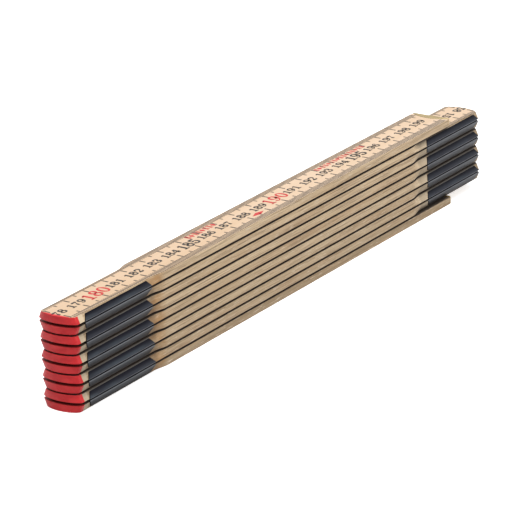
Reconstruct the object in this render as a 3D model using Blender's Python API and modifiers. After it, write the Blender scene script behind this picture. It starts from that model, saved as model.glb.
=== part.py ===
"""Two-metre folding rule: ten wooden blades, nine riveted steel joints and two brass end caps.

Metres, +Z up. The folded rule lies on its bottom blade, with its length along X and the middle
of that blade's underside at the origin. Blades are numbered from the zero end, so blade_01 is at
the bottom and blade_10 on top. Joint n holds blade n (its lower blade) to blade n + 1 (its upper
blade): odd joints are at the -X end and even joints at the +X end, all turning about +Z.
"""

import math

import bmesh
import bpy
from mathutils import Matrix, Vector

MM = 0.001

# Driving dimensions
BLADE_COUNT = 10
PIVOT_SPACING = 200 * MM
TIP_REACH = 21.6 * MM  # from a pivot to the end of the blade beyond it
BLADE_WIDTH = 15 * MM
BLADE_THICKNESS = 2.6 * MM
BLADE_GAP = 0.6 * MM
SIDE_DRAW = 1.1 * MM  # how far the sides lean in at a joint, from its plane to the blade's other face
SHEET = 0.4 * MM

# Blade shape
PITCH = BLADE_THICKNESS + BLADE_GAP
HALF_WIDTH = BLADE_WIDTH / 2
LEAN = SIDE_DRAW / BLADE_THICKNESS
PIVOT_X = PIVOT_SPACING / 2
TIP_RADIUS = 18 * MM
TIP_CORNER = 0.5 * MM
TIP_CORNER_POWER = 10
TIP_STEPS = 10
RAMP_START = 19.6 * MM  # from the pivot, towards the middle of the blade, where the sides straighten
RAMP_LENGTH = 6.5 * MM
RAMP_STEPS = 5
BEYOND = 4 * MM  # how far a cutter stands past what it cuts

# Steel housings: channels round the blade, with their backs against each other in the joint plane
PLATE_GAP = 0.1 * MM
HOUSING_WIDTH = 14.95 * MM
HOUSING_BACK = -15.5 * MM  # the end towards -X
HOUSING_FRONT = 19.2 * MM  # the end towards +X
BACK_BEVEL = 1.1 * MM  # how far each end is cut back at the free edges of the flanges
FRONT_BEVEL = 1.8 * MM
FLANGE = 2.35 * MM
BEND_RADIUS = 0.5 * MM
BEND_STEPS = 4
SEAT_CLEARANCE = 0.05 * MM

# Rivet, lock spring and the pockets that hide them in the wood
ROUND_STEPS = 16
SHANK_RADIUS = 1.75 * MM
FIXED_HOLE_RADIUS = 1.8 * MM
RUNNING_HOLE_RADIUS = 1.83 * MM
UPPER_HEAD_RADIUS = 3.5 * MM
UPPER_HEAD_HEIGHT = 0.7 * MM
LOWER_HEAD_RADIUS = 3.2 * MM
LOWER_HEAD_HEIGHT = 0.65 * MM
HEAD_CROWN = 0.2 * MM
SPRING_INNER_RADIUS = 1.95 * MM
SPRING_OUTER_RADIUS = 4.3 * MM
SPRING_SHEET = 0.25 * MM
SPRING_DISH = 0.45 * MM
PIN_CIRCLE_RADIUS = 3.5 * MM
PIN_RADIUS = 0.6 * MM
NOTCH_RADIUS = 0.72 * MM
NOTCH_STEPS = 8
POCKET_RADIUS = 4.9 * MM
POCKET_CLEARANCE = 0.15 * MM

# Brass end caps
CAP_EDGE = 0.6 * MM  # thickness at the edges of the blade
CAP_BELLY = 2.2 * MM  # how much thicker the cap is in the middle
CAP_STEPS = 8
CAP_CORNER = 0.5 * MM
CAP_SIDE_GAP = 0.1 * MM
CAP_SEAT_GAP = 0.08 * MM
TONGUE_WIDTH = 6 * MM
TONGUE_LENGTH = 3.5 * MM
TONGUE_HEIGHT = 0.5 * MM
TONGUE_CLEARANCE = 0.05 * MM

# Heights above a joint plane, mirrored below it for the lower blade
PLATE_NEAR = PLATE_GAP / 2
PLATE_FAR = PLATE_NEAR + SHEET
BEND_TOP = PLATE_NEAR + BEND_RADIUS
SEAT = PLATE_FAR + SEAT_CLEARANCE
SPRING_TOP = SEAT + SPRING_DISH + SPRING_SHEET
UPPER_HEAD_FROM = SPRING_TOP + SEAT_CLEARANCE
UPPER_HEAD_TO = UPPER_HEAD_FROM + UPPER_HEAD_HEIGHT
LOWER_HEAD_TO = SEAT + LOWER_HEAD_HEIGHT

COLOURS = {
    "birch": ((0.66, 0.50, 0.34), 0.6, 0.0),
    "blued_steel": ((0.035, 0.04, 0.055), 0.35, 1.0),
    "rivet_steel": ((0.45, 0.45, 0.46), 0.4, 1.0),
    "spring_steel": ((0.3, 0.3, 0.33), 0.35, 1.0),
    "brass": ((0.75, 0.58, 0.22), 0.35, 1.0),
}


def material(name):
    colour, roughness, metallic = COLOURS[name]
    made = bpy.data.materials.new(name)
    made.use_nodes = True
    surface = made.node_tree.nodes["Principled BSDF"]
    surface.inputs["Base Color"].default_value = (*colour, 1.0)
    surface.inputs["Roughness"].default_value = roughness
    surface.inputs["Metallic"].default_value = metallic
    return made


def new_collection(name):
    made = bpy.data.collections.new(name)
    bpy.context.scene.collection.children.link(made)
    return made


def mesh_from(bm, name):
    bmesh.ops.recalc_face_normals(bm, faces=bm.faces)
    mesh = bpy.data.meshes.new(name)
    bm.to_mesh(mesh)
    bm.free()
    return mesh


def prism(name, outline, low, high, turn=None):
    """A closed mesh from a flat outline that runs from height low to height high, then turned."""
    curve = bpy.data.curves.new(name, "CURVE")
    curve.dimensions = "2D"
    curve.fill_mode = "BOTH"
    curve.extrude = (high - low) / 2
    spline = curve.splines.new("POLY")
    spline.points.add(len(outline) - 1)
    for point, (x, y) in zip(spline.points, outline):
        point.co = (x, y, 0, 1)
    spline.use_cyclic_u = True
    holder = bpy.data.objects.new(name, curve)
    bpy.context.scene.collection.objects.link(holder)
    graph = bpy.context.evaluated_depsgraph_get()
    mesh = bpy.data.meshes.new_from_object(holder.evaluated_get(graph))
    bpy.data.objects.remove(holder)
    bm = bmesh.new()
    bm.from_mesh(mesh)
    bmesh.ops.remove_doubles(bm, verts=bm.verts, dist=0.001 * MM)
    bmesh.ops.translate(bm, verts=bm.verts, vec=(0, 0, (low + high) / 2))
    if turn:
        bmesh.ops.transform(bm, matrix=turn, verts=bm.verts)
    return mesh_from(bm, name)


def loft(name, outlines):
    """A closed mesh through outlines with as many points each, given as points in space."""
    bm = bmesh.new()
    rings = [[bm.verts.new(point) for point in outline] for outline in outlines]
    for below, above in zip(rings, rings[1:]):
        for i in range(len(below)):
            bm.faces.new((below[i - 1], below[i], above[i], above[i - 1]))
    for ring in (rings[0], rings[-1]):
        bm.faces.new(ring)
    bmesh.ops.triangulate(bm, faces=bm.faces)
    return mesh_from(bm, name)


# Turns an outline drawn in X and Y to stand in X and Z, and one drawn in Y and Z to run along X
STANDING = Matrix.Rotation(math.pi / 2, 4, "X")
ALONG_X = Matrix(((0, 0, 1, 0), (1, 0, 0, 0), (0, 1, 0, 0), (0, 0, 0, 1)))


def disc(name, radius, low, high, centres=((0, 0),), steps=ROUND_STEPS):
    """Upright cylinders from height low to height high, one at each centre, in one mesh."""
    bm = bmesh.new()
    for x, y in centres:
        middle = Matrix.Translation((x, y, (low + high) / 2))
        bmesh.ops.create_cone(
            bm,
            cap_ends=True,
            segments=steps,
            radius1=radius,
            radius2=radius,
            depth=high - low,
            matrix=middle,
        )
    return mesh_from(bm, name)


def block(name, low, high):
    """A box between two corners."""
    size = Vector(high) - Vector(low)
    centre = (Vector(high) + Vector(low)) / 2
    bm = bmesh.new()
    bmesh.ops.create_cube(bm, size=1, matrix=Matrix.Translation(centre) @ Matrix.Diagonal((*size, 1)))
    return mesh_from(bm, name)


def place(mesh, name, body, location, finish):
    """Puts a mesh in the rule as a named piece of one body."""
    piece = bpy.data.objects.new(name, mesh)
    rule.objects.link(piece)
    if not mesh.materials:
        mesh.materials.append(finish)
    hold(piece, body, location)
    return piece


def hold(thing, body, location):
    thing.parent = body
    thing.matrix_parent_inverse = Matrix.Translation(-joint_place_of[body.name])
    thing.location = location


def carve(piece, mesh, body, location, operation="DIFFERENCE"):
    """Cuts a piece, or joins to it, with a mesh placed at a location."""
    cutter = bpy.data.objects.new(mesh.name, mesh)
    cutters.objects.link(cutter)
    cutter.hide_render = True
    cutter.display_type = "WIRE"
    hold(cutter, body, location)
    change = piece.modifiers.new(mesh.name, "BOOLEAN")
    change.object = cutter
    change.operation = operation


def settled(piece, name):
    """The mesh of a piece after its modifiers, for pieces that several joints share."""
    graph = bpy.context.evaluated_depsgraph_get()
    mesh = bpy.data.meshes.new_from_object(piece.evaluated_get(graph))
    mesh.name = name
    for change in piece.modifiers:
        if change.type == "BOOLEAN":
            bpy.data.objects.remove(change.object)
    bpy.data.objects.remove(piece)
    return mesh


def side_of(n):
    """The end of the folded rule that joint n is at: -1 or 1."""
    return -1 if n % 2 else 1


def joint_place(n):
    """The point where joint n's axis crosses the plane between its two plates."""
    return Vector((side_of(n) * PIVOT_X, 0, n * PITCH - BLADE_GAP / 2))


def blade_bottom(k):
    return (k - 1) * PITCH


# Housings -------------------------------------------------------------------------------------


def channel_section():
    """The U of a housing in Y and Z, with flanges that lean in with the wood."""
    outside = arc_corner(HOUSING_WIDTH / 2, PLATE_NEAR, BEND_RADIUS)
    inside = arc_corner(HOUSING_WIDTH / 2 - SHEET, PLATE_FAR, BEND_RADIUS - SHEET)
    other_inside, other_outside = ([(-y, z) for y, z in wall] for wall in (inside, outside))
    return [*reversed(inside), *other_inside, *reversed(other_outside), *outside]


def arc_corner(y, z, radius):
    """A rounded corner that leads from a flat at height z into a leaning wall at half width y."""
    turns = [math.pi / 2 * i / BEND_STEPS for i in range(BEND_STEPS + 1)]
    arc = [(y - radius + radius * math.sin(t), z + radius - radius * math.cos(t)) for t in turns]
    top = PLATE_NEAR + FLANGE
    return [*arc, (y - LEAN * (top - BEND_TOP), top)]


def bevel_cutters():
    """What the slopes take off both ends of the flanges."""
    height = FLANGE - BEND_RADIUS
    cutters = []
    for end, bevel in ((HOUSING_FRONT, FRONT_BEVEL), (HOUSING_BACK, -BACK_BEVEL)):
        away = end + math.copysign(BEYOND, bevel)
        outline = [
            (away, BEND_TOP),
            (end, BEND_TOP),
            (end - 2 * bevel, BEND_TOP + 2 * height),
            (away, BEND_TOP + 2 * height),
        ]
        cutters.append(prism("flange_bevel", outline, -HOUSING_WIDTH, HOUSING_WIDTH, STANDING))
    return cutters


def housing_mesh(name, hole_radius, pin_holes):
    channel = prism(name, channel_section(), HOUSING_BACK, HOUSING_FRONT, ALONG_X)
    piece = place(channel, name, root, (0, 0, 0), steel)
    for cutter in bevel_cutters():
        carve(piece, cutter, root, (0, 0, 0))
    carve(piece, disc("rivet_hole", hole_radius, -BEYOND, BEYOND), root, (0, 0, 0))
    turns = [math.tau * i / pin_holes for i in range(pin_holes)]
    centres = [(PIN_CIRCLE_RADIUS * math.cos(t), PIN_CIRCLE_RADIUS * math.sin(t)) for t in turns]
    notches = disc("notches", NOTCH_RADIUS, -BEYOND, BEYOND, centres, NOTCH_STEPS)
    carve(piece, notches, root, (0, 0, 0))
    return settled(piece, name)


# Rivet and spring -------------------------------------------------------------------------------


def turned(name, profile, closed):
    """A profile of radius and height, from top to bottom down its outer side, turned round Z."""
    mesh = bpy.data.meshes.new(name)
    edges = [(i, i + 1) for i in range(len(profile) - 1)]
    if closed:
        edges.append((len(profile) - 1, 0))
    mesh.from_pydata([(r, 0, z) for r, z in profile], edges, [])
    piece = place(mesh, name, root, (0, 0, 0), spring_steel if closed else rivet_steel)
    screw = piece.modifiers.new("turn", "SCREW")
    screw.steps = ROUND_STEPS
    screw.render_steps = ROUND_STEPS
    screw.use_merge_vertices = True
    screw.merge_threshold = 0.001 * MM
    screw.use_smooth_shade = True
    return piece


def rivet_mesh():
    profile = [
        (0, UPPER_HEAD_TO),
        (UPPER_HEAD_RADIUS - HEAD_CROWN, UPPER_HEAD_TO),
        (UPPER_HEAD_RADIUS, UPPER_HEAD_TO - HEAD_CROWN),
        (UPPER_HEAD_RADIUS, UPPER_HEAD_FROM),
        (SHANK_RADIUS, UPPER_HEAD_FROM),
        (SHANK_RADIUS, -SEAT),
        (LOWER_HEAD_RADIUS, -SEAT),
        (LOWER_HEAD_RADIUS, -LOWER_HEAD_TO + HEAD_CROWN),
        (LOWER_HEAD_RADIUS - HEAD_CROWN, -LOWER_HEAD_TO),
        (0, -LOWER_HEAD_TO),
    ]
    return settled(turned("pivot_rivet", profile, False), "pivot_rivet")


def spring_mesh():
    """A dished washer with two pins that reach through the upper plate to the lower one."""
    profile = [
        (SPRING_INNER_RADIUS, SPRING_TOP),
        (SPRING_OUTER_RADIUS, SEAT + SPRING_SHEET),
        (SPRING_OUTER_RADIUS, SEAT),
        (SPRING_INNER_RADIUS, SPRING_TOP - SPRING_SHEET),
    ]
    piece = turned("lock_spring", profile, True)
    pin_top = SEAT + SPRING_SHEET
    for side in (-1, 1):
        centre = [(side * PIN_CIRCLE_RADIUS, 0)]
        pin = disc("spring_pin", PIN_RADIUS, PLATE_NEAR + SEAT_CLEARANCE / 2, pin_top, centre, NOTCH_STEPS)
        carve(piece, pin, root, (0, 0, 0), "UNION")
    return settled(piece, "lock_spring")


# Blades ---------------------------------------------------------------------------------------


def half_width(x, joint_side):
    """Half the width at x of a face that is drawn in round the pivot on one side, or on neither."""
    if not joint_side:
        return HALF_WIDTH
    along = (PIVOT_X - joint_side * x - RAMP_START) / RAMP_LENGTH
    share = 0.5 + 0.5 * math.cos(math.pi * min(max(along, 0), 1))
    return HALF_WIDTH - SIDE_DRAW * share


def tip_line(side):
    """The rounded end of a blade beyond a pivot, from -Y to +Y."""
    line = []
    for i in range(-TIP_STEPS, TIP_STEPS + 1):
        across = math.sin(math.pi / 2 * i / TIP_STEPS)
        y = across * HALF_WIDTH
        drop = TIP_RADIUS - math.sqrt(TIP_RADIUS**2 - y**2)
        drop += TIP_CORNER * abs(across) ** TIP_CORNER_POWER
        line.append((side * (PIVOT_X + TIP_REACH - drop), y))
    return line


def cap_line(half, clearance):
    """The curve where an end cap meets its blade, from -Y to +Y."""
    line = []
    for i in range(-CAP_STEPS, CAP_STEPS + 1):
        across = i / CAP_STEPS
        depth = CAP_EDGE + CAP_BELLY * (1 - across**2)
        line.append((PIVOT_X - depth - clearance, across * half))
    return line


def tongue(name, clearance, inward):
    """The cap's tongue, or the slot for it, about the middle height of the cap."""
    low = (
        PIVOT_X - CAP_EDGE - CAP_BELLY - TONGUE_LENGTH - clearance,
        -TONGUE_WIDTH / 2 - clearance,
        -TONGUE_HEIGHT / 2 - clearance,
    )
    high = (
        PIVOT_X - CAP_EDGE + inward,
        TONGUE_WIDTH / 2 + clearance,
        TONGUE_HEIGHT / 2 + clearance,
    )
    return block(name, low, high)


def rebate(side):
    """The room of one leaning flange in the wood of a joint's upper blade."""
    back, front = HOUSING_BACK - SEAT_CLEARANCE, HOUSING_FRONT + SEAT_CLEARANCE
    top = PLATE_NEAR + FLANGE + SEAT_CLEARANCE
    share = (top - BEND_TOP) / (FLANGE - BEND_RADIUS)
    levels = []
    for z, cut_back in ((-BEYOND, 0), (BEND_TOP, 0), (top, share)):
        inner = HOUSING_WIDTH / 2 - SHEET - SEAT_CLEARANCE - LEAN * max(z - BEND_TOP, 0)
        low_x, high_x = back + BACK_BEVEL * cut_back, front - FRONT_BEVEL * cut_back
        near, far = side * inner, side * (HALF_WIDTH + BEYOND)
        levels.append([(low_x, near, z), (high_x, near, z), (high_x, far, z), (low_x, far, z)])
    return loft("flange_rebate", levels)


def wood_cutters(side, pocket_depth):
    """What a joint takes from its upper blade: rebates, the plate's seat and the rivet's pocket."""
    pocket = disc("rivet_pocket", POCKET_RADIUS, -BEYOND, pocket_depth)
    return rebate(-1), rebate(1), seat_cutter(side), pocket


def seat_cutter(side):
    """The shallow seat of the plate, open at the tip of the blade."""
    tip = side * (TIP_REACH + BEYOND)
    inward = HOUSING_FRONT if side < 0 else HOUSING_BACK
    margin = SEAT_CLEARANCE if side < 0 else -SEAT_CLEARANCE
    low_x, high_x = sorted((tip, inward + margin))
    low = (low_x, -HALF_WIDTH - BEYOND, -BEYOND)
    high = (high_x, HALF_WIDTH + BEYOND, SEAT)
    return block("plate_seat", low, high)


def mirrored(mesh):
    """The same mesh upside down, for the lower blade of a joint."""
    copy = mesh.copy()
    copy.transform(Matrix.Diagonal((1, 1, -1, 1)))
    copy.flip_normals()
    return copy


def cut_joint_end(blade, body, n, upper):
    """Takes joint n's housing, seat and rivet pocket out of one of its blades."""
    head = UPPER_HEAD_TO if upper else LOWER_HEAD_TO
    for mesh in wood_cutters(side_of(n), head + POCKET_CLEARANCE):
        shape = mesh if upper else mirrored(mesh)
        carve(blade, shape, body, joint_place(n))


def blade_outline(k, joint_side, z):
    """One face of a blade at height z, drawn in round the pivot on one side, or on neither."""
    ramp = [PIVOT_X - RAMP_START - RAMP_LENGTH * i / RAMP_STEPS for i in range(RAMP_STEPS + 1)]
    stations = [-x for x in ramp]
    if 1 < k < BLADE_COUNT:
        right = tip_line(1)
        stations += reversed(ramp)
    else:
        right = cap_line(HALF_WIDTH, CAP_SEAT_GAP)
    near = [(x, -HALF_WIDTH) for x in stations]
    far = [(x, HALF_WIDTH) for x in reversed(stations)]
    plan = [*reversed(tip_line(-1)), *near, *right, *far]
    return [(x, y / HALF_WIDTH * half_width(x, joint_side), z) for x, y in plan]


def make_blade(k, body):
    low = blade_bottom(k)
    underside = blade_outline(k, side_of(k) if k < BLADE_COUNT else 0, low)
    top = blade_outline(k, side_of(k - 1) if k > 1 else 0, low + BLADE_THICKNESS)
    wood = loft(f"blade_{k:02d}", [underside, top])
    blade = place(wood, f"blade_{k:02d}", body, (0, 0, 0), birch)
    if k > 1:
        cut_joint_end(blade, body, k - 1, True)
    if k < BLADE_COUNT:
        cut_joint_end(blade, body, k, False)
    if k in (1, BLADE_COUNT):
        carve(blade, tongue("tongue_slot", TONGUE_CLEARANCE, 0), body, (0, 0, cap_middle(k)))


# End caps -------------------------------------------------------------------------------------


def cap_middle(k):
    return blade_bottom(k) + BLADE_THICKNESS / 2


def make_cap(name, k, body):
    half = HALF_WIDTH - CAP_SIDE_GAP
    outline = list(reversed(cap_line(half, 0)))
    outline += [
        (PIVOT_X - CAP_CORNER, -half),
        (PIVOT_X, -half + CAP_CORNER),
        (PIVOT_X, half - CAP_CORNER),
        (PIVOT_X - CAP_CORNER, half),
    ]
    low = blade_bottom(k)
    cap = place(prism(name, outline, low, low + BLADE_THICKNESS), name, body, (0, 0, 0), brass)
    carve(cap, tongue("tongue", 0, CAP_EDGE / 2), body, (0, 0, cap_middle(k)), "UNION")


# The rule -------------------------------------------------------------------------------------

for thing in list(bpy.data.objects):
    bpy.data.objects.remove(thing)

rule = new_collection("folding_rule")
cutters = new_collection("cutters")
birch = material("birch")
steel = material("blued_steel")
rivet_steel = material("rivet_steel")
spring_steel = material("spring_steel")
brass = material("brass")

joint_place_of = {"rule": Vector((0, 0, 0))}
root = bpy.data.objects.new("rule", None)
rule.objects.link(root)

bodies = {1: root}
for number in range(2, BLADE_COUNT + 1):
    turning = bpy.data.objects.new(f"turning_{number:02d}", None)
    rule.objects.link(turning)
    here = joint_place(number - 1)
    previous = bodies[number - 1]
    turning.parent = previous
    turning.location = here - joint_place_of[previous.name]
    joint_place_of[turning.name] = here
    bodies[number] = turning

upper_housing = housing_mesh("upper_housing", FIXED_HOLE_RADIUS, 2)
lower_housing = mirrored(housing_mesh("lower_housing", RUNNING_HOLE_RADIUS, 4))
rivet = rivet_mesh()
spring = spring_mesh()

for number, body in bodies.items():
    make_blade(number, body)

for number in range(1, BLADE_COUNT):
    here = joint_place(number)
    above = bodies[number + 1]
    place(lower_housing, f"joint_{number}_lower_housing", bodies[number], here, steel)
    place(upper_housing, f"joint_{number}_upper_housing", above, here, steel)
    place(spring, f"joint_{number}_lock_spring", above, here, spring_steel)
    place(rivet, f"joint_{number}_pivot_rivet", above, here, rivet_steel)

make_cap("zero_end_cap", 1, bodies[1])
make_cap("top_end_cap", BLADE_COUNT, bodies[BLADE_COUNT])
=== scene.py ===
import math

import bmesh
import bpy
from mathutils import Matrix, Vector


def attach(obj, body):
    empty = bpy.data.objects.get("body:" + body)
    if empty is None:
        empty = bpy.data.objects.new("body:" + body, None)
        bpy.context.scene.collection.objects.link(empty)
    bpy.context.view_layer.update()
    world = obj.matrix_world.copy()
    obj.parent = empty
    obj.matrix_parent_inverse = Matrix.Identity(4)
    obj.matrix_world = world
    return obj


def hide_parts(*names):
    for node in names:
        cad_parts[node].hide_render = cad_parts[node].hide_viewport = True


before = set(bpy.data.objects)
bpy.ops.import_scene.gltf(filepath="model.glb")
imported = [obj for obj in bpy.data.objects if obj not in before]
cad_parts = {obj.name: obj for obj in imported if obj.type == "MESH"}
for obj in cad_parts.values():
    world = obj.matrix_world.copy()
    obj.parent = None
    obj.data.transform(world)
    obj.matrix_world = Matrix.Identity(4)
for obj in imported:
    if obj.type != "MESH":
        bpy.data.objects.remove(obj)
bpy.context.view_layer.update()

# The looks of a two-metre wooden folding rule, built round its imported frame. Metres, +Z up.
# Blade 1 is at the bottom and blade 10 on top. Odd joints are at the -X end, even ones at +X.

MM = 0.001
BLADES = range(1, 11)
JOINTS = range(1, 10)

# Sizes shared with the frame
HALF_WIDTH = 7.5 * MM
THICKNESS = 2.6 * MM
PITCH = 3.2 * MM
HALF_GAP = 0.3 * MM  # from a blade to the joint plane beside it
PIVOT_X = 100 * MM
TIP_X = 121.6 * MM
TIP_RADIUS = 18 * MM
TIP_CORNER = 0.5 * MM
TIP_CORNER_POWER = 10
SIDE_DRAW = 1.1 * MM
LEAN = SIDE_DRAW / THICKNESS
RAMP_START = 19.6 * MM
RAMP_LENGTH = 6.5 * MM
CAP_EDGE = 0.6 * MM
CAP_BELLY = 2.2 * MM
CAP_SEAM = 0.22 * MM
SEAT = 0.5 * MM  # the plate's seat, above the joint plane
BEND_TOP = 0.55 * MM
FLANGE_TOP = 2.4 * MM
HOUSING_HALF = 7.475 * MM
HOUSING_BACK = -15.5 * MM
HOUSING_FRONT = 19.2 * MM
BACK_BEVEL = 1.1 * MM
FRONT_BEVEL = 1.8 * MM
SHEET = 0.4 * MM
CLEARANCE = 0.05 * MM
BACK_GAP = 0.35 * MM  # between a housing's back end and the wood
POCKET_RADIUS = 4.9 * MM
UPPER_POCKET = 2.1 * MM
LOWER_POCKET = 1.3 * MM
SLOT_X = 98.9 * MM  # the middle of the slot for an end cap's tongue
SLOT_SIZE = (10.5 * MM, 6.1 * MM, 0.6 * MM)
BEYOND = 4 * MM  # how far a cutter reaches past the wood

# How finely the curves are drawn
TIP_SHARES = (0.1, 0.2, 0.3, 0.4, 0.5, 0.6, 0.7, 0.8, 0.88, 0.94, 0.975, 1)
RAMP_STEPS = 10
CAP_STEPS = 10
RIM_STEPS = 3
POCKET_SIDES = 32
POCKET_TURN = 0.4  # of a side, so that no corner lies on an axis
DOT_SIDES = 10
CURVE_STEPS = 3

# Finish of the wood
RIM = 0.16 * MM  # rounding of the wood's long edges
PAINT_START = 118.3 * MM
PAINT_ON_FACE = 120.5 * MM  # on the top blade's upper face
SHARP_WOOD = 35  # degrees
FEWEST_FACES = 500  # of a blade whose cuts have worked

# The print
SCALE = 200  # millimetres of the scale on a blade, from pivot to pivot
OVERRUN = 22  # millimetres of it beyond each pivot
INK_OUT = 0.025 * MM
INK_IN = 0.05 * MM
INK_EDGE = RIM * 0.6  # from the print to a blade's long edge
SEAT_GAP = 0.3 * MM  # from the print to a plate's seat
CAP_GAP = 0.1 * MM  # from the print to an end cap
MARK_WIDTH = 0.46 * MM
MARK_LENGTHS = {10: 4.9 * MM, 5: 3.8 * MM, 1: 2.55 * MM}
WIDER = 1.15  # the width of a centimetre's mark, against the others
SHORTEST_MARK = 0.3 * MM
TRIM = 0.2 * MM  # a mark is shortened by this much at a time
NUMBER_ROOM = 3 * MM  # from a number's middle to a plate's seat
END_ROOM = 6 * MM  # from a number's middle to the end of the scale
TENS = (4.75 * MM, 3.9 * MM, 0.82)  # height, pitch of the digits and boldness
FIVES = (4.0 * MM, 3.3 * MM, 0.95)
OTHERS = (3.0 * MM, 2.75 * MM, 1.0)
ORNAMENT_PITCH = 1.9 * MM  # nearly: a row takes a whole number of them

# Rounded edges of the carried-over pieces
WELD = 0.002 * MM
EDGE_SEGMENTS = 2
EDGE_ANGLE = 40  # degrees


def side_of(n):
    """The end that joint n is at: -1 or 1."""
    return -1 if n % 2 else 1


def joint_point(n):
    return Vector((side_of(n) * PIVOT_X, 0, n * PITCH - HALF_GAP))


def blade_heights(k):
    return (k - 1) * PITCH, (k - 1) * PITCH + THICKNESS


# Materials ------------------------------------------------------------------------------------


class Nodes:
    """A short way to write a material's node tree."""

    def __init__(self, name):
        self.material = bpy.data.materials.new(name)
        self.material.use_nodes = True
        self.tree = self.material.node_tree
        self.surface = self.tree.nodes["Principled BSDF"]

    def link(self, value, socket):
        if isinstance(value, bpy.types.NodeSocket):
            self.tree.links.new(value, socket)
        else:
            socket.default_value = value

    def add(self, kind, inputs=(), output=0, **settings):
        node = self.tree.nodes.new(kind)
        for key, value in settings.items():
            setattr(node, key, value)
        for key, value in dict(inputs).items():
            self.link(value, node.inputs[key])
        return node.outputs[output]

    def math(self, operation, a, b=0.0):
        return self.add("ShaderNodeMath", {0: a, 1: b}, operation=operation)

    def ramp(self, value, low, high, to_low=0.0, to_high=1.0):
        """A smooth step from to_low to to_high as value goes from low to high."""
        node = self.tree.nodes.new("ShaderNodeMapRange")
        node.interpolation_type = "SMOOTHSTEP"
        for socket, given in zip(node.inputs, (value, low, high, to_low, to_high)):
            self.link(given, socket)
        return node.outputs[0]

    def mix(self, share, a, b):
        """The colour a where share is 0, and b where it is 1."""
        node = self.tree.nodes.new("ShaderNodeMix")
        node.data_type = "RGBA"
        self.link(share, node.inputs[0])
        self.link(a if isinstance(a, bpy.types.NodeSocket) else (*a, 1), node.inputs[6])
        self.link(b if isinstance(b, bpy.types.NodeSocket) else (*b, 1), node.inputs[7])
        return node.outputs[2]

    def place(self, scale, shift=(0, 0, 0)):
        """Object coordinates, scaled for each axis."""
        where = self.add("ShaderNodeTexCoord", output=3)
        return self.add("ShaderNodeMapping", {"Vector": where, "Scale": scale, "Location": shift})

    def noise(self, scale, detail=3.0, roughness=0.5, distortion=0.0, shift=(0, 0, 0)):
        inputs = {
            "Vector": self.place(scale, shift),
            "Scale": 1.0,
            "Detail": detail,
            "Roughness": roughness,
            "Distortion": distortion,
        }
        return self.add("ShaderNodeTexNoise", inputs)

    def bump(self, height, strength, distance):
        inputs = {"Height": height, "Strength": strength, "Distance": distance}
        return self.add("ShaderNodeBump", inputs)

    def set(self, **inputs):
        for key, value in inputs.items():
            self.link(value, self.surface.inputs[key.replace("_", " ")])
        return self.material


def split(n, vector):
    """The three parts of a vector."""
    parts = n.tree.nodes.new("ShaderNodeSeparateXYZ")
    n.link(vector, parts.inputs[0])
    return parts.outputs


def grime(n, colour, shade_colour, low=0.7, high=1.0):
    """Painted shade: darkens a colour in the narrow gaps between pieces, as far as the pieces are
    together.
    """
    open_sky = n.add("ShaderNodeAmbientOcclusion", {"Distance": 2.5 * MM}, output=1, samples=8)
    return n.mix(n.ramp(open_sky, low, high, 0.9, 0.0), colour, shade_colour)


def band(n, along, start, end, fade_in=MM, fade_out=MM, share=1.0):
    """A share between two places along a blade, with soft ends, and 0 beyond them."""
    rise = n.ramp(along, start, start + fade_in)
    fall = n.ramp(along, end - fade_out, end, share, 0.0)
    return n.math("MULTIPLY", rise, fall)


def wood_face(n, along, broad, fine, fleck):
    """The printed faces: cream, with short flecks, and slightly darker towards the left as painted
    shade.
    """
    # Painted shade: the faces darken towards -X.
    face = n.mix(n.ramp(along, -120 * MM, 100 * MM), (0.655, 0.475, 0.325), (0.71, 0.535, 0.385))
    face = n.mix(n.ramp(broad, 0.35, 0.68, 0.0, 0.3), face, (0.54, 0.36, 0.20))
    face = n.mix(n.ramp(fine, 0.5, 0.75, 0.0, 0.35), face, (0.56, 0.37, 0.22))
    return n.mix(n.ramp(fleck, 0.66, 0.74, 0.0, 0.5), face, (0.50, 0.31, 0.17))


def sawn_edge(n, k, shift, broad, fine, fleck):
    """The long edges of blade k: tan with fine lengthwise grain, and darker on the lower blades as
    painted shade.
    """
    # Painted shade: the lower a blade lies in the stack, the darker its edges.
    stack_shade = 0.72 + 0.42 * ((k - 1) / 9) ** 0.5
    tan = tuple(stack_shade * c for c in (0.69, 0.522, 0.33))
    brown = tuple(stack_shade * c for c in (0.585, 0.428, 0.26))
    patch = n.noise((22, 40, 400), 2, 0.5, 0.0, shift)
    edge = n.mix(n.ramp(broad, 0.3, 0.7), tan, brown)
    edge = n.mix(n.ramp(patch, 0.45, 0.75, 0.0, 0.7), edge, (0.56, 0.375, 0.22))
    edge = n.mix(n.ramp(fine, 0.42, 0.7, 0.0, 0.85), edge, (0.32, 0.21, 0.12))
    return n.mix(n.ramp(fleck, 0.58, 0.72, 0.0, 0.8), edge, (0.80, 0.65, 0.48))


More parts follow.
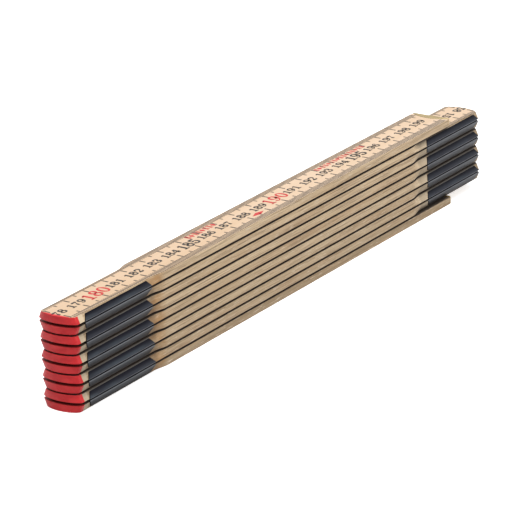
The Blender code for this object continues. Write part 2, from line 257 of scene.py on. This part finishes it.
def by_the_housings(n, k, along, edge):
    """The long edges near the housings: painted shade, in blotches, in front of the left ones; pale
    behind their square ends, which at the right ones is a painted highlight; and painted shadow in the
    strips beside the flanges."""
    pale = (0.91, 0.74, 0.52)
    blots = n.ramp(n.noise((90, 500, 500), 3, 0.6), 0.35, 0.65, 0.1, 0.95)
    # Painted shade, in blotches, on the ramps in front of the left housings.
    left_ramp_shade = band(n, along, -86 * MM, -73 * MM, 5.5 * MM, 4 * MM)
    edge = n.mix(n.math("MULTIPLY", left_ramp_shade, blots), edge, (0.42, 0.235, 0.10))
    edge = n.mix(n.ramp(along, -116.4 * MM, -115.6 * MM, 0.75, 0.0), edge, pale)
    if 1 < k < 10:
        # Painted highlight on the wood in front of the right housings, by the flanges' square ends.
        edge = n.mix(band(n, along, 74 * MM, 85.5 * MM, fade_in=9.5 * MM, share=0.75), edge, pale)
    # Painted shadow: near black beside the lower housings, grey beside the upper ones, and none where
    # nothing above casts it.
    left = band(n, along, -114.8 * MM, -82.2 * MM)
    right = band(n, along, 85.6 * MM, 117.6 * MM)
    shadow_by_lower_housing, shadow_by_upper_housing = (left, right) if k % 2 else (right, left)
    if k < 10:
        edge = n.mix(shadow_by_lower_housing, edge, (0.02, 0.018, 0.017))
    if 1 < k < 9:
        edge = n.mix(shadow_by_upper_housing, edge, (0.20, 0.19, 0.17))
    return edge


def wood(k):
    """Birch for blade k: cream faces, tan sawn edges, and painted shade on the rims between them and
    in the gaps between blades.
    """
    n = Nodes(f"birch_{k:02d}")
    shift = (k * 0.37, k * 0.11, k * 0.23)
    broad = n.noise((9, 160, 300), 3, 0.55, 0.4, shift)
    fine = n.noise((60, 2600, 2600), 4, 0.6, 0.2, shift)
    fleck = n.noise((230, 3300, 3300), 2, 0.5, 0.0, shift)
    upward = split(n, n.add("ShaderNodeNewGeometry", output=3))[2]  # of the true normal
    level = n.math("ABSOLUTE", upward)
    along = split(n, n.place((1, 1, 1)))[0]

    edge = by_the_housings(n, k, along, sawn_edge(n, k, shift, broad, fine, fleck))
    colour = n.mix(n.ramp(level, 0.5, 0.9), edge, wood_face(n, along, broad, fine, fleck))
    # Painted shade on the rounded rims beside the gaps, weaker on the top blade's upper rim, which
    # nothing covers.
    upper_rim_shade = n.ramp(upward, 0.3, 0.5, 0.0, 0.85 if k < 10 else 0.35)
    rim = n.math("ADD", upper_rim_shade, n.ramp(upward, -0.5, -0.3, 0.85, 0.0))
    rim = n.math("MULTIPLY", rim, n.ramp(level, 0.85, 0.95, 1.0, 0.0))
    colour = n.mix(rim, colour, (0.05, 0.035, 0.025))
    saw = n.noise((2400, 300, 130), 2, 0.5)
    height = n.math("ADD", n.math("MULTIPLY", fine, 0.8), n.math("MULTIPLY", saw, 0.35))
    return n.set(
        # Painted shade in the gaps between the blades.
        Base_Color=grime(n, colour, (0.022, 0.015, 0.011)),
        Roughness=n.ramp(broad, 0.3, 0.7, 0.45, 0.6),
        Specular_IOR_Level=0.3,
        Normal=n.bump(height, 0.35, 0.00005),
    )


def red_paint():
    n = Nodes("red_paint")
    cloud = n.noise((120, 260, 500), 3, 0.5)
    speck = n.noise((1500, 1500, 1500), 2, 0.5)
    colour = n.mix(n.ramp(cloud, 0.35, 0.7), (0.72, 0.03, 0.034), (0.59, 0.019, 0.025))
    colour = n.mix(n.ramp(speck, 0.72, 0.8, 0.0, 0.5), colour, (0.62, 0.12, 0.10))
    return n.set(
        # Painted shade in the gaps between the tips.
        Base_Color=grime(n, colour, (0.17, 0.028, 0.022), 0.3, 0.85),
        Roughness=n.ramp(cloud, 0.3, 0.7, 0.34, 0.46),
        Specular_IOR_Level=0.35,
        Normal=n.bump(n.noise((300, 700, 700), 2), 0.25, 0.00008),
    )


def ink(name, colour, faded):
    n = Nodes(name)
    wear = n.noise((1400, 2100, 900), 3, 0.6)
    colour = n.mix(n.ramp(wear, 0.5, 0.8, 0.0, 0.7), colour, faded)
    return n.set(Base_Color=colour, Roughness=0.55)


def metal(name, colour, tint, roughness, streak):
    """Sheet or turned metal with fine streaks and soft clouds of tint."""
    n = Nodes(name)
    cloud = n.noise((45, 220, 220), 3, 0.55, 0.3)
    lines = n.noise(streak, 3, 0.6)
    return n.set(
        Base_Color=n.mix(n.ramp(cloud, 0.4, 0.7), colour, tint),
        Metallic=1.0,
        Roughness=n.ramp(lines, 0.3, 0.75, roughness - 0.06, roughness + 0.12),
        Normal=n.bump(lines, 0.18, 0.00003),
    )


def blued_steel(name, upper):
    """Blued sheet: a painted highlight at the bend, grey beyond it and darkened to nearly black at the
    free edge as a painted reflection, with lit and shaded copies for the upper and lower flanges.
    """
    n = Nodes(name)
    up = split(n, n.add("ShaderNodeTexCoord", output=0))[2]
    height = up if upper else n.math("SUBTRACT", 1.0, up)  # 0 at the joint plane, 1 at the edge
    cloud = n.noise((45, 220, 220), 3, 0.55, 0.3)
    lines = n.noise((90, 3000, 3000), 3, 0.6)
    # Painted light: the upper and lower flanges get their own slate, highlight and dark free edge, for
    # how light falls on each.
    if upper:
        slate, haze = (0.056, 0.060, 0.076), (0.090, 0.112, 0.135)
        navy, bend_highlight = (0.014, 0.014, 0.023), (0.15, 0.153, 0.165)
        reflection_falloff = n.ramp(height, 0.3, 0.92)
    else:
        slate, haze = (0.033, 0.035, 0.044), (0.043, 0.052, 0.062)
        navy, bend_highlight = (0.004, 0.004, 0.006), (0.21, 0.214, 0.23)
        reflection_falloff = n.ramp(height, 0.1, 0.85)
    colour = n.mix(n.ramp(cloud, 0.45, 0.7, 0.0, 0.75), slate, haze)
    # Painted reflection: darker towards the free edge.
    colour = n.mix(reflection_falloff, colour, navy)
    # Painted highlight along the bend, streaked by the lines.
    bend = n.math("MULTIPLY", n.ramp(height, 0.05, 0.1), n.ramp(height, 0.15, 0.23, 1.0, 0.0))
    wear = n.math("MULTIPLY", bend, n.ramp(lines, 0.2, 0.6, 0.4, 1.0))
    colour = n.mix(wear, colour, bend_highlight)
    return n.set(
        # Painted shade in the gaps beside the sheet.
        Base_Color=grime(n, colour, (0.008, 0.008, 0.01), 0.55, 0.92),
        Metallic=0.85,
        Specular_IOR_Level=0.25,
        Roughness=n.ramp(lines, 0.3, 0.75, 0.28, 0.44),
        Normal=n.bump(lines, 0.18, 0.00003),
    )


paint = red_paint()
black_ink = ink("black_ink", (0.03, 0.027, 0.025), (0.11, 0.09, 0.07))
red_ink = ink("red_ink", (0.56, 0.03, 0.03), (0.70, 0.16, 0.12))
steel = {
    "lower": blued_steel("blued_steel_lower", False),
    "upper": blued_steel("blued_steel_upper", True),
}
rivet_steel = metal("rivet_steel", (0.46, 0.46, 0.47), (0.36, 0.35, 0.34), 0.34, (900, 900, 900))
spring_steel = metal("spring_steel", (0.22, 0.23, 0.27), (0.30, 0.27, 0.22), 0.3, (700, 700, 900))
brass = metal("brass", (0.82, 0.64, 0.33), (0.68, 0.49, 0.2), 0.28, (1200, 300, 2500))


# Meshes ---------------------------------------------------------------------------------------


def new_object(name, mesh):
    made = bpy.data.objects.new(name, mesh)
    bpy.context.scene.collection.objects.link(made)
    return made


def mesh_from(bm, name):
    bmesh.ops.recalc_face_normals(bm, faces=bm.faces)
    mesh = bpy.data.meshes.new(name)
    bm.to_mesh(mesh)
    bm.free()
    return mesh


def loft(outlines):
    """A closed mesh through outlines of equal length, given as lists of points in space."""
    bm = bmesh.new()
    rings = [[bm.verts.new(point) for point in outline] for outline in outlines]
    for below, above in zip(rings, rings[1:]):
        for i in range(len(below)):
            bm.faces.new((below[i - 1], below[i], above[i], above[i - 1]))
    for ring in (rings[0], rings[-1]):
        bm.faces.new(ring)
    bmesh.ops.triangulate(bm, faces=bm.faces)
    return bm


def cut(piece, shape):
    """Cuts a mesh out of a piece."""
    cutter = new_object(shape.name, shape)
    change = piece.modifiers.new("cut", "BOOLEAN")
    change.object = cutter
    change.operation = "DIFFERENCE"
    graph = bpy.context.evaluated_depsgraph_get()
    mesh = bpy.data.meshes.new_from_object(piece.evaluated_get(graph))
    piece.modifiers.clear()
    piece.data = mesh
    bpy.data.objects.remove(cutter)


def slice_at(mesh, x):
    """Adds a line of edges where a mesh crosses a plane across X."""
    bm = bmesh.new()
    bm.from_mesh(mesh)
    everything = [*bm.verts, *bm.edges, *bm.faces]
    bmesh.ops.bisect_plane(bm, geom=everything, plane_co=(x, 0, 0), plane_no=(1, 0, 0))
    bm.to_mesh(mesh)
    bm.free()


def smooth(mesh, degrees):
    mesh.polygons.foreach_set("use_smooth", [True] * len(mesh.polygons))
    mesh.set_sharp_from_angle(angle=math.radians(degrees))


def weigh_normals(piece):
    change = piece.modifiers.new("normals", "WEIGHTED_NORMAL")
    change.keep_sharp = True


# Blades ---------------------------------------------------------------------------------------


def half_width(x, joint_side):
    """Half the width at x of a face that is drawn in round the pivot on one side, or on neither."""
    if not joint_side:
        return HALF_WIDTH
    along = (PIVOT_X - joint_side * x - RAMP_START) / RAMP_LENGTH
    share = 0.5 + 0.5 * math.cos(math.pi * min(max(along, 0), 1))
    return HALF_WIDTH - SIDE_DRAW * share


def tip_reach(across):
    """How far a tip reaches at a share of the half width."""
    y = across * HALF_WIDTH
    drop = TIP_RADIUS - math.sqrt(TIP_RADIUS**2 - y**2)
    return TIP_X - drop - TIP_CORNER * abs(across) ** TIP_CORNER_POWER


def tip_line(side):
    """The rounded end of a blade, from -Y to +Y."""
    shares = [*(-share for share in reversed(TIP_SHARES)), 0, *TIP_SHARES]
    return [(side * tip_reach(share), share * HALF_WIDTH) for share in shares]


def cap_line():
    """The edge of the wood where an end cap sits, from -Y to +Y."""
    shares = [i / CAP_STEPS for i in range(-CAP_STEPS, CAP_STEPS + 1)]
    depth = CAP_EDGE + CAP_SEAM
    return [(PIVOT_X - depth - CAP_BELLY * (1 - s * s), s * HALF_WIDTH) for s in shares]


def blade_plan(k):
    ramp = [PIVOT_X - RAMP_START - RAMP_LENGTH * i / RAMP_STEPS for i in range(RAMP_STEPS + 1)]
    stations = [-x for x in ramp]
    right = cap_line()
    if 1 < k < 10:
        right = tip_line(1)
        stations += reversed(ramp)
    near = [(x, -HALF_WIDTH) for x in stations]
    far = [(x, HALF_WIDTH) for x in reversed(stations)]
    return [*reversed(tip_line(-1)), *near, *right, *far]


def drawn_sides(k):
    """The joint side on which a blade's underside, and its top, are drawn in (0: neither)."""
    return (side_of(k) if k < 10 else 0), (side_of(k - 1) if k > 1 else 0)


def inset(outline, distance):
    """The outline moved inwards, for the rounding of a rim."""
    moved = []
    for i, (x, y) in enumerate(outline):
        before, after = outline[i - 1], outline[(i + 1) % len(outline)]
        a = Vector((x - before[0], y - before[1])).normalized()
        b = Vector((after[0] - x, after[1] - y)).normalized()
        bisector = Vector((-(a.y + b.y), a.x + b.x)).normalized()
        reach = distance / max(bisector.dot(Vector((-a.y, a.x))), 0.5)
        moved.append((x + bisector.x * reach, y + bisector.y * reach))
    return moved


def blade_mesh(k):
    low, high = blade_heights(k)
    under_side, top_side = drawn_sides(k)
    plan = blade_plan(k)
    under = [(x, y / HALF_WIDTH * half_width(x, under_side)) for x, y in plan]
    top = [(x, y / HALF_WIDTH * half_width(x, top_side)) for x, y in plan]

    def level(z, margin):
        share = (z - low) / THICKNESS
        outline = [(a[0], a[1] + (b[1] - a[1]) * share) for a, b in zip(under, top)]
        return [(x, y, z) for x, y in (inset(outline, margin) if margin else outline)]

    turns = [math.pi / 2 * i / RIM_STEPS for i in range(RIM_STEPS + 1)]
    rim = [(RIM * (1 - math.cos(t)), RIM * (1 - math.sin(t))) for t in turns]
    levels = [level(low + rise, margin) for margin, rise in rim[::-1]]
    levels += [level(high - rise, margin) for margin, rise in rim]
    return mesh_from(loft(levels), f"wood_{k:02d}")


def prism(name, outline, to_low, to_high):
    """A closed mesh between two copies of a flat outline, each placed by a function."""
    return mesh_from(loft([[to_low(p) for p in outline], [to_high(p) for p in outline]]), name)


def joint_cutters(n, upper):
    """What joint n takes out of one of its blades, in place."""
    at = joint_point(n)
    up = 1 if upper else -1
    side = side_of(n)

    def seat_point(x, y, z):
        return at + Vector((x, y, up * z))

    top = FLANGE_TOP + CLEARANCE
    share = (top - BEND_TOP) / (FLANGE_TOP - BEND_TOP)
    back, front = HOUSING_BACK - CLEARANCE, HOUSING_FRONT + CLEARANCE
    groove = HOUSING_BACK - BACK_GAP
    outline = [
        (groove, -BEYOND),
        (front, -BEYOND),
        (front, BEND_TOP),
        (front - FRONT_BEVEL * share, top),
        (groove + BACK_BEVEL * share, top),
        (groove, BEND_TOP),
    ]
    inner = HOUSING_HALF - SHEET - CLEARANCE
    shapes = []
    for hand in (-1, 1):
        def wall(y):
            return lambda p: seat_point(p[0], hand * (y - LEAN * max(p[1] - BEND_TOP, 0)), p[1])

        shapes.append(prism("rebate", outline, wall(inner), wall(HALF_WIDTH + BEYOND)))
    tip = side * (TIP_X - PIVOT_X + BEYOND)
    inward = front if side < 0 else back
    corners = [(tip, -1), (inward, -1), (inward, 1), (tip, 1)]
    wide = HALF_WIDTH + BEYOND
    shapes.append(
        prism(
            "seat",
            corners,
            lambda p: seat_point(p[0], p[1] * wide, -BEYOND),
            lambda p: seat_point(p[0], p[1] * wide, SEAT),
        )
    )
    depth = UPPER_POCKET if upper else LOWER_POCKET
    turns = [math.tau * (i + POCKET_TURN) / POCKET_SIDES for i in range(POCKET_SIDES)]
    circle = [(POCKET_RADIUS * math.cos(t), POCKET_RADIUS * math.sin(t)) for t in turns]
    shapes.append(
        prism(
            "pocket",
            circle,
            lambda p: seat_point(p[0], p[1], -BEYOND),
            lambda p: seat_point(p[0], p[1], depth),
        )
    )
    return shapes


def tongue_slot(k):
    """What an end cap's tongue takes out of blade k, in place."""
    low, high = blade_heights(k)
    middle = Matrix.Translation((SLOT_X, 0, (low + high) / 2))
    box = bmesh.new()
    bmesh.ops.create_cube(box, size=1, matrix=middle @ Matrix.Diagonal((*SLOT_SIZE, 1)))
    return mesh_from(box, "slot")


def make_blade(k):
    blade = new_object(f"wood_blade_{k:02d}", blade_mesh(k))
    shapes = joint_cutters(k - 1, True) if k > 1 else []
    shapes += joint_cutters(k, False) if k < 10 else []
    if k in (1, 10):
        shapes.append(tongue_slot(k))
    for shape in shapes:
        cut(blade, shape)
    mesh = blade.data
    assert len(mesh.polygons) > FEWEST_FACES, f"the cuts emptied blade {k}"
    slice_at(mesh, -PAINT_START)
    slice_at(mesh, -PAINT_ON_FACE)
    mesh.materials.clear()
    mesh.materials.append(wood(k))
    mesh.materials.append(paint)
    for face in mesh.polygons:
        limit = PAINT_ON_FACE if k == 10 and face.normal.z > 0.5 else PAINT_START
        face.material_index = 1 if face.center.x < -limit else 0
    smooth(mesh, SHARP_WOOD)
    weigh_normals(blade)
    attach(blade, f"leaf_{k:02d}")
    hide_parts(f"blade_{k:02d}")


# The printed scale ----------------------------------------------------------------------------

GLYPH_WIDTH = 0.62  # of a digit that is 1 high
THICK = 0.26
THIN = 0.125
BALL = 0.27


def ring(cx, cy, rx, ry, start=0, end=360, steps=18):
    """An arc with a thick stroke at its sides and a thin one at its top and bottom."""
    points = []
    for i in range(steps + 1):
        t = math.radians(start + (end - start) * i / steps)
        weight = THIN + (THICK - THIN) * abs(math.cos(t)) ** 1.4
        points.append((cx + rx * math.cos(t), cy + ry * math.sin(t), weight))
    return points


# Strokes in a box 1 high and GLYPH_WIDTH wide: points of (x, y, width), and single round ends
GLYPHS = {
    "0": [ring(0.31, 0.5, 0.2, 0.46)],
    "1": [
        [(0.33, 0.03, THICK), (0.33, 0.97, THICK)],
        [(0.13, 0.80, THIN), (0.22, 0.83, THIN), (0.33, 0.95, THIN)],
        [(0.12, 0.03, THIN), (0.54, 0.03, THIN)],
    ],
    "2": [
        [(0.13, 0.74, BALL)],
        ring(0.31, 0.74, 0.19, 0.23, 175, -25, 12)
        + [(0.38, 0.44, 0.09), (0.22, 0.25, THIN), (0.11, 0.08, THIN)],
        [(0.09, 0.08, THIN), (0.22, 0.12, THICK), (0.40, 0.07, THICK)]
        + [(0.51, 0.10, 0.08), (0.54, 0.26, THIN)],
    ],
    "3": [
        [(0.14, 0.78, BALL * 0.9)],
        ring(0.29, 0.75, 0.18, 0.22, 165, -90, 12),
        ring(0.28, 0.28, 0.22, 0.25, 90, -165, 12),
        [(0.12, 0.21, BALL * 0.9)],
    ],
    "4": [
        [(0.41, 0.03, THICK), (0.41, 0.97, THICK)],
        [(0.38, 0.95, THIN), (0.06, 0.29, THIN)],
        [(0.05, 0.27, THIN * 1.3), (0.58, 0.27, THIN * 1.3)],
        [(0.26, 0.03, THIN), (0.57, 0.03, THIN)],
    ],
    "5": [
        [(0.13, 0.96, THIN), (0.30, 0.91, THICK), (0.52, 0.93, THICK * 0.8)],
        [(0.13, 0.96, THIN), (0.12, 0.50, THIN)],
        ring(0.29, 0.31, 0.21, 0.28, 140, -160, 14),
        [(0.13, 0.19, BALL * 0.9)],
    ],
    "6": [
        ring(0.31, 0.30, 0.19, 0.27),
        [(0.12, 0.30, THICK), (0.14, 0.62, THICK), (0.25, 0.86, 0.11)]
        + [(0.40, 0.96, THIN), (0.48, 0.9, THIN)],
        [(0.48, 0.83, BALL * 0.85)],
    ],
    "7": [
        [(0.09, 0.76, THIN), (0.10, 0.97, THIN)],
        [(0.09, 0.91, THICK * 0.7), (0.30, 0.90, THICK), (0.52, 0.95, THIN)],
        [(0.53, 0.95, THIN), (0.36, 0.58, 0.08), (0.28, 0.28, THICK), (0.27, 0.03, THICK)],
    ],
    "8": [ring(0.31, 0.75, 0.16, 0.22), ring(0.31, 0.27, 0.2, 0.24)],
}
GLYPHS["9"] = [[(GLYPH_WIDTH - x, 1 - y, w) for x, y, w in stroke] for stroke in GLYPHS["6"]]


class Print:
    """Ink of one colour on a blade: closed, very thin shapes, each drawn on one of its faces."""

    def __init__(self):
        self.points = []
        self.faces = []

    def slab(self, outline, face):
        """A flat shape. face turns (x, y) on the face and a height above it into a point."""
        first, count = len(self.points), len(outline)
        for height in (-INK_IN, INK_OUT):
            self.points += [face(x, y, height) for x, y in outline]
        self.faces.append([first + i for i in reversed(range(count))])
        self.faces.append([first + count + i for i in range(count)])
        for i in range(count):
            j = (i + 1) % count
            self.faces.append([first + i, first + j, first + count + j, first + count + i])

    def ribbon(self, stroke, face):
        """A stroke of varying width."""
        left, right = [], []
        for i, (x, y, width) in enumerate(stroke):
            before, after = stroke[max(i - 1, 0)], stroke[min(i + 1, len(stroke) - 1)]
            ahead = Vector((after[0] - before[0], after[1] - before[1])).normalized()
            left.append((x - ahead.y * width / 2, y + ahead.x * width / 2))
            right.append((x + ahead.y * width / 2, y - ahead.x * width / 2))
        first, count = len(self.points), len(stroke)
        for a, b in zip(left, right):
            self.points += [face(*b, -INK_IN), face(*a, -INK_IN), face(*a, INK_OUT), face(*b, INK_OUT)]
        for i in range(count - 1):
            for j in range(4):
                k = (j + 1) % 4
                start = first + 4 * i
                self.faces.append([start + j, start + k, start + 4 + k, start + 4 + j])
        last = first + 4 * (count - 1)
        self.faces.append([first + j for j in reversed(range(4))])
        self.faces.append([last + j for j in range(4)])

    def dot(self, x, y, width, face):
        """The round end of a stroke."""
        radius = width / 2
        turns = [math.tau * i / DOT_SIDES for i in range(DOT_SIDES)]
        self.slab([(x + radius * math.cos(t), y + radius * math.sin(t)) for t in turns], face)

    def piece(self, name, finish, body):
        """All of it as one object, which rides on a body."""
        draft = bpy.data.meshes.new(name)
        draft.from_pydata(self.points, [], self.faces)
        bm = bmesh.new()
        bm.from_mesh(draft)
        bpy.data.meshes.remove(draft)
        made = new_object(name, mesh_from(bm, name))
        made.data.materials.append(finish)
        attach(made, body)


def between(a, b, c, d, t):
    """The value at a share t of the way from b to c, on a smooth curve through all four."""
    square = (2 * a - 5 * b + 4 * c - d) * t**2
    cube = (3 * b - a - 3 * c + d) * t**3
    return 0.5 * (2 * b + (c - a) * t + square + cube)


def smoothed(stroke):
    """More points along a stroke of a few. Dots, straight strokes and arcs stay as they are."""
    if not 3 <= len(stroke) <= 12:
        return stroke
    made = []
    for i in range(len(stroke) - 1):
        p = [stroke[max(i - 1, 0)], stroke[i], stroke[i + 1], stroke[min(i + 2, len(stroke) - 1)]]
        for step in range(CURVE_STEPS):
            made.append(tuple(between(*four, step / CURVE_STEPS) for four in zip(*p)))
    return [*made, stroke[-1]]


STROKES = {digit: [smoothed(stroke) for stroke in strokes] for digit, strokes in GLYPHS.items()}


def runs_on_wood(stroke, inside):
    """The stretches of a stroke whose whole width is on the wood."""
    runs = [[]]
    for x, y, width in stroke:
        if inside(x + math.copysign(width / 2, x), y):
            runs[-1].append((x, y, width))
        elif runs[-1]:
            runs.append([])
    return runs


def draw_number(target, number, size, inside, face, centre, turn):
    """Writes a number with its middle at centre, running along X or, with turn -1, against it."""
    height, pitch, bold = size
    digits = str(number)
    widen = pitch / GLYPH_WIDTH
    for place, digit in enumerate(digits):
        start = (place - len(digits) / 2) * pitch
        for stroke in STROKES[digit]:
            placed = []
            for x, y, width in stroke:
                u, v = start + x * widen, (y - 0.5) * height
                placed.append((centre + turn * u, turn * v, width * height * bold))
            for run in runs_on_wood(placed, inside):
                if len(stroke) == 1 and run:
                    target.dot(*run[0], face)
                elif len(run) > 1:
                    target.ribbon(run, face)


def mark_x(k, millimetre):
    """Where a millimetre of the whole scale falls on blade k: even blades run along +X."""
    along = millimetre - SCALE * (k - 1)
    return (-PIVOT_X + along * MM) if k % 2 == 0 else (PIVOT_X - along * MM)


def print_face(k, top, black, red):
    """The scale on one face of blade k: marks along both edges, and a number per centimetre."""
    low, high = blade_heights(k)
    z = high if top else low
    up = 1 if top else -1
    under_side, top_side = drawn_sides(k)
    drawn = top_side if top else under_side
    milled = under_side if top else top_side  # at this end the face is the plate's seat
    turn = 1 if k % 2 == 0 else -1

    def face(x, y, height):
        return (x, y * up, z + up * height)

    def inside(x, y, margin=0.0):
        """Whether a point of the face is on its wood, with the print cut where the wood ends."""
        if milled:
            start = HOUSING_FRONT if milled < 0 else -HOUSING_BACK
            if milled * x > PIVOT_X - start - SEAT_GAP - margin:
                return False
        half = half_width(x, drawn)
        if abs(y) > half - INK_EDGE:
            return False
        if x > 0 and k in (1, 10):
            return x < PIVOT_X - CAP_EDGE - CAP_BELLY - CAP_GAP
        return abs(x) < tip_reach(min(abs(y) / half, 1)) - RIM

    for millimetre in range(SCALE * (k - 1) - OVERRUN, SCALE * k + OVERRUN + 1):
        x = mark_x(k, millimetre)
        step = next(step for step in MARK_LENGTHS if millimetre % step == 0)
        inner = HALF_WIDTH - MARK_LENGTHS[step]
        outer = half_width(x, drawn) - INK_EDGE
        if not inside(x, inner) or outer - inner < SHORTEST_MARK:
            continue
        half = MARK_WIDTH / 2 * (WIDER if step == 10 else 1)
        for hand in (-1, 1):
            while not inside(x, hand * outer) and outer - inner > SHORTEST_MARK:
                outer -= TRIM
            a, b = sorted((hand * inner, hand * outer))
            black.slab([(x - half, a), (x + half, a), (x + half, b), (x - half, b)], face)

    first, last = (SCALE * (k - 1) - OVERRUN) // 10 + 1, (SCALE * k + OVERRUN) // 10
    for centimetre in range(first, last + 1):
        x = mark_x(k, centimetre * 10)
        if centimetre <= 0 or not inside(x, 0, NUMBER_ROOM):
            continue
        if k in (1, 10) and x > PIVOT_X - END_ROOM:
            continue
        target = red if centimetre % 10 == 0 else black
        size = TENS if centimetre % 10 == 0 else FIVES if centimetre % 5 == 0 else OTHERS
        draw_number(target, centimetre, size, inside, face, x, turn)
    if k == 10 and top:
        plain_marks(red, face)


def plain_marks(red, face):
    """Plain red ornaments beside the numbers: two rows of bars and lozenges, and one lozenge."""

    def lozenge(x, y, wide, high):
        red.slab([(x - wide, y), (x, y - high), (x + wide, y), (x, y + high)], face)

    def row(start, end, low, high):
        middle = (low + high) / 2
        count = round((end - start) / ORNAMENT_PITCH)
        step = (end - start) / count
        for i in range(count):
            x = start + (i + 0.5) * step
            if i % 3 == 1:
                lozenge(x, middle, step * 0.42, (high - low) / 2)
            else:
                for shift in (-0.24, 0.1):
                    a, b = x + shift * step, x + (shift + 0.2) * step
                    red.slab([(a, low), (b, low), (b, high), (a, high)], face)

    row(-46 * MM, -30 * MM, 2.3 * MM, 4.9 * MM)
    row(30 * MM, 60 * MM, 2.5 * MM, 4.7 * MM)
    lozenge(-15 * MM, -3.4 * MM, 3.2 * MM, 1.1 * MM)


# Steel and brass ------------------------------------------------------------------------------


def soften(node, finish, width):
    """Gives a carried-over CAD node rounded edges and its finish."""
    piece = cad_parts[node]
    piece.data.materials.clear()
    piece.data.materials.append(finish)
    piece.data.polygons.foreach_set("use_smooth", [True] * len(piece.data.polygons))
    weld = piece.modifiers.new("weld", "WELD")
    weld.merge_threshold = WELD
    round_edges = piece.modifiers.new("edges", "BEVEL")
    round_edges.width = width
    round_edges.segments = EDGE_SEGMENTS
    round_edges.limit_method = "ANGLE"
    round_edges.angle_limit = math.radians(EDGE_ANGLE)
    weigh_normals(piece)


# The stage ------------------------------------------------------------------------------------


def make_floor():
    """A white floor that shows shadows, and that neither shades nor lights the rule from below."""
    bm = bmesh.new()
    bmesh.ops.create_grid(bm, x_segments=1, y_segments=1, size=6)
    floor = new_object("floor", mesh_from(bm, "floor"))
    floor.location.z = -0.03 * MM  # just below the print on the underside
    n = Nodes("floor")
    seen = n.add("ShaderNodeLightPath", output=0)
    n.set(
        Base_Color=(0.94, 0.94, 0.94, 1),
        Roughness=0.9,
        Specular_IOR_Level=0.0,
        Emission_Color=(1, 1, 1, 1),
        Emission_Strength=n.math("MULTIPLY", seen, 0.55),
    )
    behind = n.add("ShaderNodeNewGeometry", output=6)
    clear = n.tree.nodes.new("ShaderNodeBsdfTransparent")
    shaders = {0: behind, 1: n.surface.outputs[0], 2: clear.outputs[0]}
    choose = n.add("ShaderNodeMixShader", shaders)
    n.tree.links.new(choose, n.tree.nodes["Material Output"].inputs[0])
    floor.data.materials.append(n.material)
    floor.visible_diffuse = floor.visible_shadow = False


def area_light(name, location, size, watts):
    """A round soft light that faces the middle of the rule."""
    light = bpy.data.lights.new(name, "AREA")
    light.shape = "DISK"
    light.size = size
    light.energy = watts
    holder = new_object(name, light)
    holder.location = location
    holder.rotation_mode = "QUATERNION"
    aim = Vector((0, 0, 15 * MM)) - Vector(location)
    holder.rotation_quaternion = aim.to_track_quat("-Z", "Y")


def make_world():
    """Soft light from all round: white overhead, greyer at the horizon and below."""
    world = bpy.data.worlds.new("studio")
    bpy.context.scene.world = world
    world.use_nodes = True
    tree = world.node_tree
    where = tree.nodes.new("ShaderNodeTexCoord")
    parts = tree.nodes.new("ShaderNodeSeparateXYZ")
    tree.links.new(where.outputs["Generated"], parts.inputs[0])
    lift = tree.nodes.new("ShaderNodeMapRange")
    lift.interpolation_type = "SMOOTHSTEP"
    for socket, value in zip(lift.inputs[1:5], (0.0, 0.9, 0.34, 1.15)):
        socket.default_value = value
    tree.links.new(parts.outputs[2], lift.inputs[0])
    background = tree.nodes["Background"]
    background.inputs["Color"].default_value = (1, 1, 1, 1)
    tree.links.new(lift.outputs[0], background.inputs["Strength"])


def make_camera():
    data = bpy.data.cameras.new("camera")
    data.lens = 245.56
    data.sensor_width = 36
    data.clip_start = 0.05
    data.clip_end = 50
    camera = new_object("camera", data)
    camera.location = (-0.91435, -0.62276, 0.41455)
    azimuth, elevation, roll = (math.radians(a) for a in (-55.446, 20.085, -2.325))
    back = Vector(
        (
            math.sin(azimuth) * math.cos(elevation),
            -math.cos(azimuth) * math.cos(elevation),
            math.sin(elevation),
        )
    )
    camera.rotation_mode = "QUATERNION"
    turned = Matrix.Rotation(roll, 4, "Z").to_quaternion()
    camera.rotation_quaternion = (-back).to_track_quat("-Z", "Y") @ turned
    bpy.context.scene.camera = camera


# Everything -----------------------------------------------------------------------------------

for k in BLADES:
    make_blade(k)
    black, red = Print(), Print()
    for top in (True, False):
        print_face(k, top, black, red)
    black.piece(f"scale_{k:02d}_black", black_ink, f"leaf_{k:02d}")
    if red.faces:
        red.piece(f"scale_{k:02d}_red", red_ink, f"leaf_{k:02d}")

for n in JOINTS:
    for part in ("lower", "upper"):
        soften(f"joint_{n}_{part}_housing", steel[part], 0.05 * MM)
    soften(f"joint_{n}_lock_spring", spring_steel, 0.04 * MM)
    soften(f"joint_{n}_pivot_rivet", rivet_steel, 0.08 * MM)
for node in ("zero_end_cap", "top_end_cap"):
    soften(node, brass, 0.1 * MM)

make_floor()
area_light("key", (-0.1, -0.2, 1.4), 0.9, 8.8)
area_light("fill", (-0.2, -1.3, 0.55), 0.9, 4.5)
make_world()
make_camera()
bpy.context.scene.view_settings.view_transform = "Standard"
